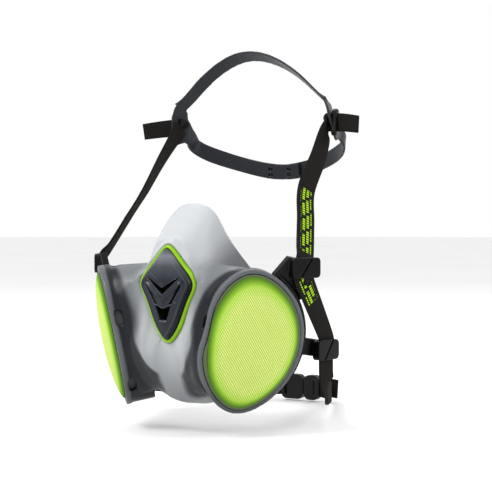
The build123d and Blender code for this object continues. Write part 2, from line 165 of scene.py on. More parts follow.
# ---- Materials -----------------------------------------------------------------------------------
class Shader:
    """A Principled material and short ways to add nodes to it."""

    def __init__(self, name, color=(0.5, 0.5, 0.5), roughness=0.5, **inputs):
        self.material = bpy.data.materials.new(name)
        self.material.use_nodes = True
        self.nodes, self.links = self.material.node_tree.nodes, self.material.node_tree.links
        self.main = self.nodes["Principled BSDF"]
        self.main.inputs["Base Color"].default_value = (*color, 1)
        self.main.inputs["Roughness"].default_value = roughness
        for key, value in inputs.items():
            self.main.inputs[key.replace("_", " ")].default_value = value

    def add(self, kind, **settings):
        node = self.nodes.new("ShaderNode" + kind)
        for key, value in settings.items():
            setattr(node, key, value)
        return node

    def link(self, source, target):
        self.links.new(source, target)

    def math(self, operation, a, b=0.0, c=0.0):
        node = self.add("Math", operation=operation)
        for socket, value in zip(node.inputs, (a, b, c)):
            if hasattr(value, "is_linked"):
                self.link(value, socket)
            else:
                socket.default_value = value
        return node.outputs[0]

    def rest(self):
        """Coordinates of the piece at rest, in metres, whatever its pose."""
        return self.add("TexCoord").outputs["Object"]

    def noise(self, scale, detail=3.0, where=None, rough=0.55):
        node = self.add("TexNoise")
        node.inputs["Scale"].default_value = scale
        node.inputs["Detail"].default_value = detail
        node.inputs["Roughness"].default_value = rough
        self.link(where or self.rest(), node.inputs["Vector"])
        return node.outputs["Fac"]

    def ramp(self, factor, *stops):
        """stops are (position, value or colour)."""
        node = self.add("ValToRGB")
        elements = node.color_ramp.elements
        while len(elements) < len(stops):
            elements.new(0.5)
        for element, (place, value) in zip(elements, stops):
            element.position = place
            color = value if isinstance(value, tuple) else (value, value, value)
            element.color = (*color, 1)
        self.link(factor, node.inputs["Fac"])
        return node.outputs["Color"]

    def mix(self, factor, a, b):
        node = self.add("Mix", data_type="RGBA")
        for socket, value in ((node.inputs[0], factor), (node.inputs[6], a), (node.inputs[7], b)):
            if hasattr(value, "is_linked"):
                self.link(value, socket)
            else:
                socket.default_value = (*value, 1) if isinstance(value, tuple) else value
        return node.outputs[2]

    def bump(self, height, strength, distance):
        node = self.add("Bump")
        node.inputs["Strength"].default_value = strength
        node.inputs["Distance"].default_value = distance
        self.link(height, node.inputs["Height"])
        previous = self.main.inputs["Normal"]
        if previous.is_linked:
            self.link(previous.links[0].from_socket, node.inputs["Normal"])
        self.link(node.outputs["Normal"], previous)

    def color(self, source):
        self.link(source, self.main.inputs["Base Color"])

    def roughness(self, source):
        self.link(source, self.main.inputs["Roughness"])


def moulded_plastic(name, color, roughness, grain=0.15, wear=1.5, specular=0.3):
    """Injection-moulded plastic: fine spark-eroded grain, uneven gloss and paler rubbed edges."""
    s = Shader(name, color, roughness, Specular_IOR_Level=specular)
    tone = s.noise(60, 4)
    edge = s.ramp(s.add("NewGeometry").outputs["Pointiness"], (0.5, 0.0), (0.58, 1.0))
    paler = tuple(min(1, c * (1 + wear) + 0.02) for c in color)
    shade = s.mix(tone, tuple(c * 0.82 for c in color), tuple(c * 1.15 for c in color))
    s.color(s.mix(s.math("MULTIPLY", edge, 0.35), shade, paler))
    s.roughness(s.ramp(s.noise(220, 3), (0.3, roughness - 0.06), (0.7, roughness + 0.1)))
    s.bump(s.noise(2600, 2), grain, 0.00012)
    s.bump(s.noise(90, 2), 0.06, 0.0006)
    return s.material


def webbing(name, marks=None):
    """Woven elastic: weft ribs across and warp threads along.

    Rows of printed dashes lie over marks, from and to (mm along the strap)."""
    s = Shader(name, (0.012, 0.012, 0.013), 0.85, Specular_IOR_Level=0.08)
    split = s.add("SeparateXYZ")
    s.link(s.add("UVMap", uv_map="uv").outputs["UV"], split.inputs[0])
    along, across = split.outputs[0], split.outputs[1]
    weft_pitch, warp_pitch = 1.1, 0.75
    weft = s.math("ABSOLUTE", s.math("SINE", s.math("MULTIPLY", along, pi / weft_pitch)))
    shift = s.math("MULTIPLY", s.math("FLOOR", s.math("DIVIDE", along, weft_pitch)), pi / 2)
    warp_phase = s.math("ADD", s.math("MULTIPLY", across, pi / warp_pitch), shift)
    warp = s.math("ABSOLUTE", s.math("SINE", warp_phase))
    over = s.math("ADD", s.math("MULTIPLY", warp, 0.6), 0.4)
    thread = s.math("MULTIPLY", s.math("POWER", weft, 0.6), over)
    fuzz = s.noise(900, 3)
    shade = s.math("MULTIPLY", thread, s.math("ADD", fuzz, 0.35))
    base = s.mix(shade, (0.0008, 0.0008, 0.0008), (0.021, 0.0195, 0.017))
    if marks:
        row_pitch = 3.4
        place = s.math("ADD", across, 20)
        row = s.math("FLOOR", s.math("DIVIDE", place, row_pitch))
        off_row = s.math("ABSOLUTE", s.math("SUBTRACT", s.math("PINGPONG", place, row_pitch), row_pitch / 2))
        in_row = s.math("LESS_THAN", off_row, 1.05)
        staggered = s.math("ADD", along, s.math("MULTIPLY", row, 3.1))
        block = s.math("LESS_THAN", s.math("FRACT", s.math("DIVIDE", staggered, 13.0)), 0.78)
        dash = s.math("LESS_THAN", s.math("FRACT", s.math("DIVIDE", along, 1.9)), 0.66)
        in_print = s.math("LESS_THAN", s.math("ABSOLUTE", across), 4.6)
        started, ended = s.math("GREATER_THAN", along, marks[0]), s.math("LESS_THAN", along, marks[1])
        ink = s.math("MULTIPLY", s.math("MULTIPLY", in_row, block), s.math("MULTIPLY", dash, in_print))
        ink = s.math("MULTIPLY", ink, s.math("MULTIPLY", started, ended))
        worn = s.math("MULTIPLY", ink, s.math("ADD", s.math("MULTIPLY", thread, 0.5), 0.45))
        base = s.mix(worn, base, (0.50, 0.85, 0.02))
    s.color(base)
    s.bump(thread, 0.7, 0.0003)
    s.bump(fuzz, 0.2, 0.0002)
    return s.material


def lime_mesh():
    """Fine warp-knit mesh over the pad: pale threads and deep green between them, with painted shade, deeper green
    to near black, towards the edge beside the lip.
    """
    s = Shader("lime_mesh", (0.6, 0.8, 0.15), 0.7, Specular_IOR_Level=0.2)
    split = s.add("SeparateXYZ")
    s.link(s.add("UVMap", uv_map="uv").outputs["UV"], split.inputs[0])
    a, b = split.outputs[0], split.outputs[1]
    pitch = 1.6
    waves = []
    for lean in (0.62, -0.62):
        phase = s.math("MULTIPLY", s.math("ADD", a, s.math("MULTIPLY", b, lean)), pi / pitch)
        waves.append(s.math("ABSOLUTE", s.math("SINE", phase)))
    crossing = s.math("MULTIPLY", s.math("POWER", waves[1], 2.2), 0.55)
    thread = s.math("MAXIMUM", s.math("POWER", waves[0], 2.2), crossing)
    rim = s.add("Attribute", attribute_name="rim").outputs["Fac"]
    tone = s.noise(45, 3)
    light = s.mix(tone, (0.63, 0.73, 0.20), (0.74, 0.81, 0.29))
    holes = (0.28, 0.44, 0.025)
    grid = s.mix(s.ramp(thread, (0.25, 0.0), (0.75, 1.0)), holes, light)
    # Painted shade: the mesh turns darker green, then near black, towards its edge beside the pod's lip
    grid = s.mix(s.ramp(rim, (0.74, 0.0), (0.93, 0.8)), grid, (0.26, 0.54, 0.01))
    s.color(s.mix(s.ramp(rim, (0.88, 0.0), (0.98, 0.95)), grid, (0.06, 0.17, 0.002)))
    s.bump(thread, 0.8, 0.0004)
    return s.material


def soft_rubber():
    """Translucent grey moulding, with light and shade painted in by the vertex attributes pale (painted light) and
    dark (painted shade).
    """
    s = Shader("tpe_grey", (0.3, 0.31, 0.32), 0.36, Subsurface_Weight=0.15, Subsurface_Scale=0.003,
               Specular_IOR_Level=0.2, Coat_Weight=0.06, Coat_Roughness=0.2)
    s.main.inputs["Subsurface Radius"].default_value = (1.0, 1.0, 1.0)
    pale = s.add("Attribute", attribute_name="pale").outputs["Fac"]
    dark = s.add("Attribute", attribute_name="dark").outputs["Fac"]
    cloud = s.noise(38, 4)
    # pale lightens the grey where light is painted
    base = s.mix(pale, (0.048, 0.054, 0.062), (0.50, 0.515, 0.53))
    base = s.mix(s.math("MULTIPLY", cloud, 0.15), base, (0.12, 0.13, 0.145))
    # dark mixes in painted shade, near black
    s.color(s.mix(dark, base, (0.004, 0.005, 0.008)))
    s.roughness(s.ramp(s.noise(140, 4), (0.3, 0.3), (0.7, 0.46)))
    s.bump(s.noise(1500, 3), 0.12, 0.00015)
    s.bump(s.noise(55, 3), 0.10, 0.0012)
    return s.material


def cover_plastic():
    """Satin navy-black plastic of the valve cover, with a painted highlight towards its top corner and along its
    ridges.
    """
    s = Shader("cover_navy", (0.01, 0.012, 0.019), 0.3, Specular_IOR_Level=0.16, Coat_Weight=0.2,
               Coat_Roughness=0.12)
    split = s.add("SeparateXYZ")
    s.link(s.rest(), split.inputs[0])
    height = s.math("MULTIPLY", split.outputs[2], 1 / 0.06)
    # top: a painted highlight, a paler band of colour near the cover's top corner
    top = s.ramp(height, (0.40, 0.0), (0.56, 0.25), (0.68, 1.0), (0.76, 0.15))
    # edge: a painted highlight, paler colour along the cover's ridges and corners
    edge = s.ramp(s.add("NewGeometry").outputs["Pointiness"], (0.52, 0.0), (0.6, 1.0))
    tone = s.mix(s.noise(70, 4), (0.005, 0.007, 0.013), (0.010, 0.013, 0.021))
    base = s.mix(s.math("MULTIPLY", top, 0.7), tone, (0.20, 0.21, 0.23))
    s.color(s.mix(s.math("MULTIPLY", edge, 0.6), base, (0.20, 0.21, 0.235)))
    s.roughness(s.ramp(s.noise(240, 3), (0.3, 0.24), (0.7, 0.38)))
    s.bump(s.noise(2400, 2), 0.06, 0.0001)
    return s.material


MATERIALS = {
    "rubber": soft_rubber(),
    "mesh": lime_mesh(),
    "web": webbing("webbing_black"),
    "lime": moulded_plastic("lime_plastic", (0.21, 0.42, 0.004), 0.34, 0.08, 0.3),
    "cover": cover_plastic(),
    "frame": moulded_plastic("frame_black", (0.0016, 0.0016, 0.002), 0.33, 0.06, 1.0, 0.15),
    "cradle": moulded_plastic("cradle_grey", (0.012, 0.014, 0.018), 0.35, 0.06, 1.0, 0.22),
    "olive": moulded_plastic("canister_rim", (0.055, 0.075, 0.03), 0.4),
    "valve": moulded_plastic("valve_black", (0.02, 0.02, 0.022), 0.4, 0.15),
    "canister": moulded_plastic("canister_black", (0.02, 0.021, 0.023), 0.5, 0.3),
}


def granules():
    """Packed carbon grains."""
    s = Shader("carbon", (0.01, 0.01, 0.011), 0.65)
    cells = s.add("TexVoronoi")
    cells.inputs["Scale"].default_value = 900
    s.link(s.rest(), cells.inputs["Vector"])
    s.color(s.mix(cells.outputs["Color"], (0.004, 0.004, 0.005), (0.035, 0.035, 0.038)))
    s.bump(cells.outputs["Distance"], 0.9, 0.0006)
    return s.material


def felt():
    """White pleated-fibre filter felt."""
    s = Shader("filter_white", (0.78, 0.78, 0.74), 0.9, Sheen_Weight=0.4)
    fibres = s.noise(1400, 6, rough=0.7)
    s.color(s.mix(fibres, (0.62, 0.62, 0.58), (0.86, 0.86, 0.82)))
    s.bump(fibres, 0.6, 0.0004)
    return s.material


def silicone():
    """Thin milky valve rubber with a dusting of talc."""
    s = Shader("silicone", (0.7, 0.71, 0.68), 0.42, Subsurface_Weight=0.4, Subsurface_Scale=0.002)
    s.color(s.mix(s.noise(120, 4), (0.58, 0.59, 0.56), (0.76, 0.77, 0.74)))
    s.bump(s.noise(1800, 3), 0.15, 0.0001)
    return s.material


def painted_vent_shade():
    """Painted shade in the valve cover's openings: near-black, with a painted hint of the lime plastic behind
    them.
    """
    s = Shader("painted_vent_shade", (0.001, 0.0015, 0.0008), 1.0, Specular_IOR_Level=0.0)
    s.color(s.ramp(s.noise(260, 2), (0.45, (0.0006, 0.0008, 0.0006)), (0.75, (0.003, 0.007, 0.001))))
    s.bump(s.noise(700, 2), 0.3, 0.0003)
    return s.material


MATERIALS.update(carbon=granules(), felt=felt(), silicone=silicone(), void=painted_vent_shade())
CARRIED = {  # CAD nodes that keep their shape, with their material and the width of their bevel
    "filter_canister": ("canister", 0.3), "carbon_bed": ("carbon", 0), "particulate_pad": ("felt", 0),
    "inhale_seat": ("valve", 0.15), "inhale_flap": ("silicone", 0.1), "exhale_seat": ("valve", 0.2),
    "exhale_flap": ("silicone", 0.1), "neck_clasp_hook": ("frame", 0.6),
    "neck_clasp_socket": ("frame", 0.6), "mesh_frame": ("olive", 0.3),
}


def carry_over():
    """Better materials and softened edges on the CAD nodes that stay."""
    for name, node in frame["nodes"].items():
        base = name.removesuffix("_left").removesuffix("_right")
        if base not in CARRIED:
            continue
        material, width = CARRIED[base]
        for slot in node.material_slots:
            slot.material = MATERIALS[material]
        if width:
            modify(node, "BEVEL", width=width * MM, segments=3, limit_method="ANGLE", angle_limit=radians(35))
            modify(node, "WEIGHTED_NORMAL", keep_sharp=False)


carry_over()


# ---- Filter pods ---------------------------------------------------------------------------------
POD_CENTRE = Vector((58.0, -48.6, -20.4))
POD_YAW, POD_PITCH = radians(50.4), radians(-11.5)
POD_X = Vector((cos(POD_YAW), sin(POD_YAW), 0))
POD_Z = Vector((sin(POD_YAW) * cos(POD_PITCH), -cos(POD_YAW) * cos(POD_PITCH), sin(POD_PITCH)))
POD_Y = POD_Z.cross(POD_X)
POD_DEPTH, POD_SLANT = 16.0, 0.13
RIM_POINTS = ((-37, 3), (-32.5, -27), (-11, -46.5), (20, -34), (36.8, 3), (27, 35), (-7, 53.5), (-30, 34))
RIM = 3.2
DOME = 7.0


def pod_point(a, b, height, side=1):
    point = POD_CENTRE + float(a) * POD_X + float(b) * POD_Y + height * POD_Z
    return Vector((side * point.x, point.y, point.z)) * MM


def pod_coordinates(points):
    """Points (metres, n by 3) of either side as (a, b, height) over the rim plane, in mm."""
    mirrored = points / MM
    mirrored[:, 0] = np.abs(mirrored[:, 0])
    offset = mirrored - np.array(POD_CENTRE)
    return offset @ np.array([POD_X, POD_Y, POD_Z]).T


def closed_spline(points, count, inset=0.0):
    """count points along the smooth closed curve through the points, each moved inward by inset."""
    knots = np.array(points, float)
    chord = np.roll(knots, -1, 0) - np.roll(knots, 1, 0)
    inward = np.stack([-chord[:, 1], chord[:, 0]], 1) / np.linalg.norm(chord, axis=1)[:, None]
    knots += inset * inward
    n = len(knots)
    step = np.linalg.norm(np.roll(knots, -1, 0) - knots, axis=1)
    before = np.roll(step, 1)
    system, slope = np.zeros((n, n)), np.zeros((n, 2))
    for i in range(n):
        system[i, i - 1] += before[i]
        system[i, i] += 2 * (before[i] + step[i])
        system[i, (i + 1) % n] += step[i]
        slope[i] = 6 * ((knots[(i + 1) % n] - knots[i]) / step[i] - (knots[i] - knots[i - 1]) / before[i])
    bend = np.linalg.solve(system, slope)
    length, curve = step.sum(), []
    for target in np.arange(count) * length / count:
        i, t = 0, target
        while t > step[i]:
            t -= step[i]
            i += 1
        j, h = (i + 1) % n, step[i]
        curve.append((bend[i] * (h - t) ** 3 + bend[j] * t**3) / (6 * h)
                     + (knots[i] / h - bend[i] * h / 6) * (h - t) + (knots[j] / h - bend[j] * h / 6) * t)
    return np.array(curve)


def rim_size(a, b):
    """How far each point lies outside the rim's outline (mm, negative inside)."""
    outline = closed_spline(RIM_POINTS, 360)
    angles = np.arctan2(outline[:, 1], outline[:, 0])
    order = np.argsort(angles)
    radius = np.interp(np.arctan2(b, a), angles[order], np.hypot(*outline.T)[order], period=2 * pi)
    return np.hypot(a, b) - radius


def mesh_cover(side_name, side):
    """The domed mesh that bulges out of the pod's lip."""
    rings, segments = 40, 150
    outline = closed_spline(RIM_POINTS, segments, RIM + 1.7)
    verts, uvs, edge = [], [], []
    for k in range(rings + 1):
        size = sin(pi / 2 * (1 - k / (rings + 0.6)))
        height = 0.25 + DOME * 0.97 * (1 - size**2.2) ** 0.62
        for a, b in outline * size:
            verts.append(pod_point(a, b, height, side))
            uvs.append((a, b))
            edge.append(size)
    faces = [tuple(rings * segments + j for j in range(segments))]
    for k in range(rings):
        for j in range(segments):
            i, e = k * segments + j, k * segments + (j + 1) % segments
            faces.append((i, e, e + segments, i + segments))
    if side < 0:
        faces = [face[::-1] for face in faces]
    piece = new_piece("mesh_cover_" + side_name, verts, faces, "mask", "filter_mesh_" + side_name,
                      material=MATERIALS["mesh"], uvs=uvs)
    # rim, 1 at the dome's edge and 0 at its top, places the mesh material's painted shade
    paint(piece, "rim", edge)
    modify(piece, "SOLIDIFY", thickness=0.6 * MM, offset=-1)
    return piece


FRONT_Y = -62.0
# Right half of the bezel's rounded kite outline, from its top to its foot (x, z)
KITE_HALF = ((0, 48.2), (5.4, 45.0), (13.6, 35.6), (20.4, 27.6), (22.6, 22.4), (19.6, 13.0), (13.6, -1.0),
             (6.6, -14.0), (0, -18.8))
KITE_CENTRE = (0.0, 17.0)


def kite_outline(inset, count=240):
    """The bezel's outline moved in by inset, counterclockwise seen from the front."""
    corners = [*KITE_HALF, *[(-x, z) for x, z in KITE_HALF[-2:0:-1]]]
    return closed_spline(corners[::-1], count, inset)


def kite_size(x, z):
    """How far each point of the front lies outside the bezel's outline (mm, negative inside)."""
    outline = kite_outline(0) - KITE_CENTRE
    angles = np.arctan2(outline[:, 1], outline[:, 0])
    order = np.argsort(angles)
    at = np.arctan2(z - KITE_CENTRE[1], x)
    radius = np.interp(at, angles[order], np.hypot(*outline.T)[order], period=2 * pi)
    return np.hypot(x, z - KITE_CENTRE[1]) - radius


def paint(piece, name, values):
    attribute = piece.data.attributes.new(name, "FLOAT", "POINT")
    attribute.data.foreach_set("value", np.asarray(values, np.float32))


def coordinates(piece):
    flat = np.empty(len(piece.data.vertices) * 3)
    piece.data.vertices.foreach_get("co", flat)
    return flat.reshape(-1, 3)


def moulding(name, body, sources, voxel, smoothing, material, *nodes):
    """One smooth moulding out of several overlapping meshes, its edges rounded by the smoothing."""
    joined = bmesh.new()
    for source in sources:
        joined.from_mesh(source)
    mesh = bpy.data.meshes.new(name)
    joined.to_mesh(mesh)
    joined.free()
    piece = bpy.data.objects.new(name, mesh)
    bpy.context.collection.objects.link(piece)
    modify(piece, "REMESH", mode="VOXEL", voxel_size=voxel * MM, adaptivity=0, use_smooth_shade=True)
    modify(piece, "SMOOTH", factor=0.5, iterations=smoothing)
    apply_modifiers(piece)
    piece.data.materials.clear()
    piece.data.materials.append(material)
    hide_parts(*nodes)
    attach(piece, body)
    return piece


def fade(values, start, end):
    """0 before start, 1 after end, smooth between them."""
    t = np.clip((values - start) / (end - start), 0, 1)
    return t * t * (3 - 2 * t)


def push(piece, distance):
    """Move each vertex by its distance (mm) along its normal."""
    points, normals = coordinates(piece), np.empty(len(piece.data.vertices) * 3)
    piece.data.vertices.foreach_get("normal", normals)
    points += normals.reshape(-1, 3) * distance[:, None] * MM
    piece.data.vertices.foreach_set("co", points.ravel())
    piece.data.update()


def relax(piece, weight, rounds):
    """Smooth the vertices towards their neighbours, each by its weight."""
    ends = np.empty(len(piece.data.edges) * 2, int)
    piece.data.edges.foreach_get("vertices", ends)
    a, b = ends.reshape(-1, 2).T
    points = coordinates(piece)
    count = np.bincount(np.concatenate([a, b]), minlength=len(points))
    for _ in range(rounds):
        total = np.stack([np.bincount(a, points[b, k], len(points))
                          + np.bincount(b, points[a, k], len(points)) for k in range(3)], 1)
        points += weight[:, None] * (total / count[:, None] - points) * 0.8
    piece.data.vertices.foreach_set("co", points.ravel())
    piece.data.update()


def fit_round_valve(points):
    """Push the front back where the valve's ring lies, and raise a soft edge round the ring."""
    clear = kite_size(points[:, 0] / MM, points[:, 2] / MM)
    limit = (FRONT_Y - 0.2 - 0.5 * np.maximum(clear - 0.5, 0) ** 1.5) * MM
    front = points[:, 1] < -50 * MM
    edge = 2.4 * np.exp(-(((clear - 1.7) / 1.5) ** 2)) * fade(clear, -0.4, 0.6) * MM
    points[:, 1] = np.where(front, np.maximum(points[:, 1], limit) - edge, points[:, 1])
    return clear


def facepiece():
    """The soft grey moulding: smoothed, creased round the pods, and painted with light and shade as the attributes
    pale and dark.
    """
    piece = moulding("soft_facepiece", "mask", [frame["nodes"]["facepiece"].data], 0.95, 8,
                     MATERIALS["rubber"], "facepiece")
    points = coordinates(piece)
    a, b, height = pod_coordinates(points).T
    outside, depth = rim_size(a, b), -height  # how far outside the rim and behind its plane each point is
    clear = fit_round_valve(points)
    piece.data.vertices.foreach_set("co", points.ravel())
    x, y, z = np.abs(points[:, 0]) / MM, points[:, 1] / MM, points[:, 2] / MM

    panel = (1 - fade(x, 24, 38)) * (1 - fade(z, 12, 24)) * (1 - fade(y, -34, -20)) * fade(clear, 1.0, 3.0)
    panel *= fade(outside, 1.0, 5.0)
    relax(piece, np.clip(panel, 0, 1), 200)
    creased = (1 - fade(a, -8, 8)) * fade(outside, 2, 5)
    for distance, width, rise in ((5.6, 1.5, -0.8), (8.6, 1.9, 0.9)):  # a groove and a roll round the pod
        swell = rise * np.exp(-((outside - distance) / width) ** 2)
        near = fade(depth, 5, 9) * (1 - fade(depth, 26, 34)) * (1 - fade(y, -20, -8)) * fade(x, 12, 20)
        push(piece, swell * creased * near)

    # pale is painted light: paler on the middle, the nose and the upper cheeks, on the front only
    middle = 1 - fade(x, 10, 34)
    nose = fade(z, 18, 44) * (1 - fade(x, 18, 40))
    cheek = 0.5 * fade(z, -30, 20)
    pale = np.clip(np.maximum.reduce([middle, nose, cheek]), 0, 1) * (1 - fade(y, -24, 6)) * 0.9
    # painted shade towards the chin
    pale *= 1 - 0.6 * fade(-z, 0, 62)
    pod_depth = POD_DEPTH - POD_SLANT * b
    # The dark attribute below is painted shade: on the pods' side walls, on the wedge at each pod's inner side, on
    # the collar round each pod, deeper towards its foot, and on the lower part of the lip.
    wall = fade(depth, 3.0, 5.0) * (1 - fade(depth, pod_depth + 1, pod_depth + 6))
    side_wall = (1 - fade(outside, 2.0, 6.0)) * wall * fade(outside, -4.5, -2.5)
    reach = 0.5 + 11 * np.clip((34 - b) / 75, 0, 1)  # the dark inner side wall widens towards the pod's foot
    wedge = fade(depth, 3.2, 4.6) * (1 - fade(depth, pod_depth + 3, pod_depth + 7)) * (1 - fade(a, -2, 12))
    wedge *= fade(outside, -6.0, -4.8) * (1 - fade(outside, reach - 1.5, reach)) * (1 - fade(y, -16, -8))
    push(piece, -0.7 * wedge)
    collar = (1 - fade(outside, 3, 14)) * fade(depth, 2, 6) * fade(x, 16, 34)
    lip = (1 - fade(np.abs(height), 3, 6)) * (1 - fade(outside, 1.0, 4.0))
    paint(piece, "pale", pale * (1 - lip) * (1 - 0.5 * collar) + 0.09 * lip)
    dark = np.maximum.reduce([side_wall, (0.1 + 0.4 * fade(-b, -10, 30)) * collar, 0.9 * wedge])
    paint(piece, "dark", np.clip(dark + 0.35 * fade(-b, 15, 45) * lip, 0, 1))


facepiece()
for side_name, side in SIDES:
    mesh_cover(side_name, side)


# ---- Exhalation valve ----------------------------------------------------------------------------
def ring_stack(name, rows, body, *nodes, material, cap=True):
    """A closed surface of rows of points, from the outside in.

    Each row is (outline, height above the front pad)."""
    verts, uvs = [], []
    for outline, height in rows:
        for u, v in outline:
            verts.append(Vector((u, FRONT_Y - height, v)) * MM)
            uvs.append((u, v))
    n = len(rows[0][0])
    faces = []
    for k in range(len(rows) - 1):
        for j in range(n):
            i, e = k * n + j, k * n + (j + 1) % n
            faces.append((i, e, e + n, i + n))
    if cap:
        last = (len(rows) - 1) * n
        faces.append(tuple(range(last, last + n)))
    return new_piece(name, verts, faces, body, *nodes, material=material, uvs=uvs)


def valve_ring():
    """The lime ring, rounded across, low on its outer side."""
    section = ((-0.1, 0.2), (-0.1, 1.6), (0.15, 2.8), (0.7, 3.7), (1.3, 4.0), (1.9, 3.8), (2.3, 3.2),
               (2.45, 0.2))
    rows = [(kite_outline(inset), height) for inset, height in section]
    rows.append(rows[0])
    ring_stack("valve_ring", rows, "mask", "valve_bezel", material=MATERIALS["lime"], cap=False)


def segment_distance(x, z, start, end):
    """Distance of points from a line segment."""
    sx, sz = end[0] - start[0], end[1] - start[1]
    t = np.clip(((x - start[0]) * sx + (z - start[1]) * sz) / (sx * sx + sz * sz), 0, 1)
    return np.hypot(x - start[0] - t * sx, z - start[1] - t * sz), t


def inside(x, z, corners):
    """Signed distance to a convex polygon given counterclockwise: positive inside."""
    depth = np.full_like(x, 99.0)
    for (x0, z0), (x1, z1) in zip(corners, [*corners[1:], corners[0]]):
        length = hypot(x1 - x0, z1 - z0)
        depth = np.minimum(depth, ((x1 - x0) * (z - z0) - (z1 - z0) * (x - x0)) / length)
    return depth


def cover_relief(x, z):
    """Height of the cover's face over its plain crown (mm), and 0 to 1 for how far in an opening it is."""
    x = np.abs(x)
    chevron = inside(x, z, [(-0.1, 14.2), (12.8, 26.0), (12.6, 26.8), (-0.1, 19.2)])
    flank = inside(x, z, [(4.4, 8.0), (6.4, 8.0), (14.8, 21.4), (13.4, 22.0)])
    mouth = inside(x, z, [(-0.1, -2.6), (2.8, -2.6), (6.6, 7.6), (-0.1, 5.0)])
    opening = np.maximum.reduce([fade(hole, -0.15, 0.4) for hole in (chevron, flank, mouth)])
    ridge, along = segment_distance(x, z, (0, 10.6), (13.2, 21.6))
    raised = 1.7 * (1 - fade(ridge, 0.4, 2.3)) * (1 - 0.5 * along)
    ledge = 0.8 * fade(inside(x, z, [(-0.1, -4.8), (3.0, -4.8), (3.4, -3.2), (-0.1, -3.2)]), -0.6, 0.3)
    return raised + ledge - 3.4 * opening, opening


def valve_cover():
    """The dark kite cover: a steep side wall, a chamfer and a crowned face with sunk vents."""
    n, rings = ((420, 84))
    outer = kite_outline(2.5, n)
    rows = [(outer, 0.3), (outer, 3.4), (kite_outline(2.9, n), 5.8)]
    centre = np.array([0.0, 22.0])
    shoulder = kite_outline(5.2, n)
    chamfer = rows[-1][0]
    rows += [(shoulder * t + chamfer * (1 - t), 5.8 + 2.4 * sin(t * pi / 2)) for t in (0.25, 0.5, 0.75, 0.92)]
    for k in range(rings):
        size = 1 - k / (rings - 0.4)
        outline = centre + (shoulder - centre) * size
        rows.append((outline, 8.0 + 2.7 * (1 - size**1.5)))
    verts = [(u, height, v) for outline, height in rows for u, v in outline]
    flat = np.array(verts)
    relief, opening = cover_relief(flat[:, 0], flat[:, 2])
    face = fade(flat[:, 1], 5.5, 7.9)
    flat[:, 1] += relief * face
    piece = ring_stack("valve_grille", rows, "mask", "valve_cover", material=MATERIALS["cover"])
    points = np.stack([flat[:, 0], FRONT_Y - flat[:, 1], flat[:, 2]], 1) * MM
    piece.data.vertices.foreach_set("co", points.ravel())
    piece.data.update()
    piece.data.materials.append(MATERIALS["void"])
    # The faces deep in the openings take the painted vent shade instead of the cover's plastic.
    dark = opening * face
    for polygon in piece.data.polygons:
        polygon.material_index = int(dark[list(polygon.vertices)].min() > 0.35)


valve_ring()
valve_cover()


# ---- Harness mounts ------------------------------------------------------------------------------
ARM = ((11, 40), (13, 49), (23, 61), (37, 58), (38, 33), (26, 28))  # the upper arm's outline on the rim plane
ARM_FRONT, ARM_BACK = -4.6, -9.8


def plate(corners, front, back, side):
    """A flat plate on the rim plane, as a mesh."""
    verts = [pod_point(a, b, level, side) for level in (front, back) for a, b in corners]
    n = len(corners)
    faces = [tuple(range(n)), tuple(range(2 * n - 1, n - 1, -1))]
    faces += [(j, j + n, (j + 1) % n + n, (j + 1) % n) for j in range(n)]
    mesh = bpy.data.meshes.new("plate")
    mesh.from_pydata(verts, [], faces if side > 0 else [face[::-1] for face in faces])
    return mesh


for side_name, side in SIDES:
    node = "harness_frame_" + side_name
    moulding("harness_mount_" + side_name, "mask",
             [frame["nodes"][node].data, plate(ARM, ARM_FRONT, ARM_BACK, side)],
             0.45, 3, MATERIALS["frame"], node)


# ---- Straps --------------------------------------------------------------------------------------
WEB_W, WEB_T = 15.0, 1.5
UPPER_GUIDE, LOWER_GUIDE = Vector((85.0, -26.0, 33.0)), Vector((86.0, 4.0, -25.0))
YAW_UPPER, YAW_LOWER = radians(60), radians(78)
OUT, LOW_OUT = (Vector((sin(yaw), -cos(yaw), 0)) for yaw in (YAW_UPPER, YAW_LOWER))
TEMPLE, YOKE = Vector((68.5, 8, 86)), Vector((65.5, 54, 136))
TEMPLE_LEAN = Vector((0.88, -0.42, 0.15))
YOKE_YAW = radians(15)
YOKE_OUT = Vector((cos(YOKE_YAW), sin(YOKE_YAW), 0))
SLOT = YOKE - 2.5 * Vector((-YOKE_OUT.y, YOKE_OUT.x, 0))  # the yoke's strap slot
SWING = 14.0
UP = Vector((0, 0, 1))


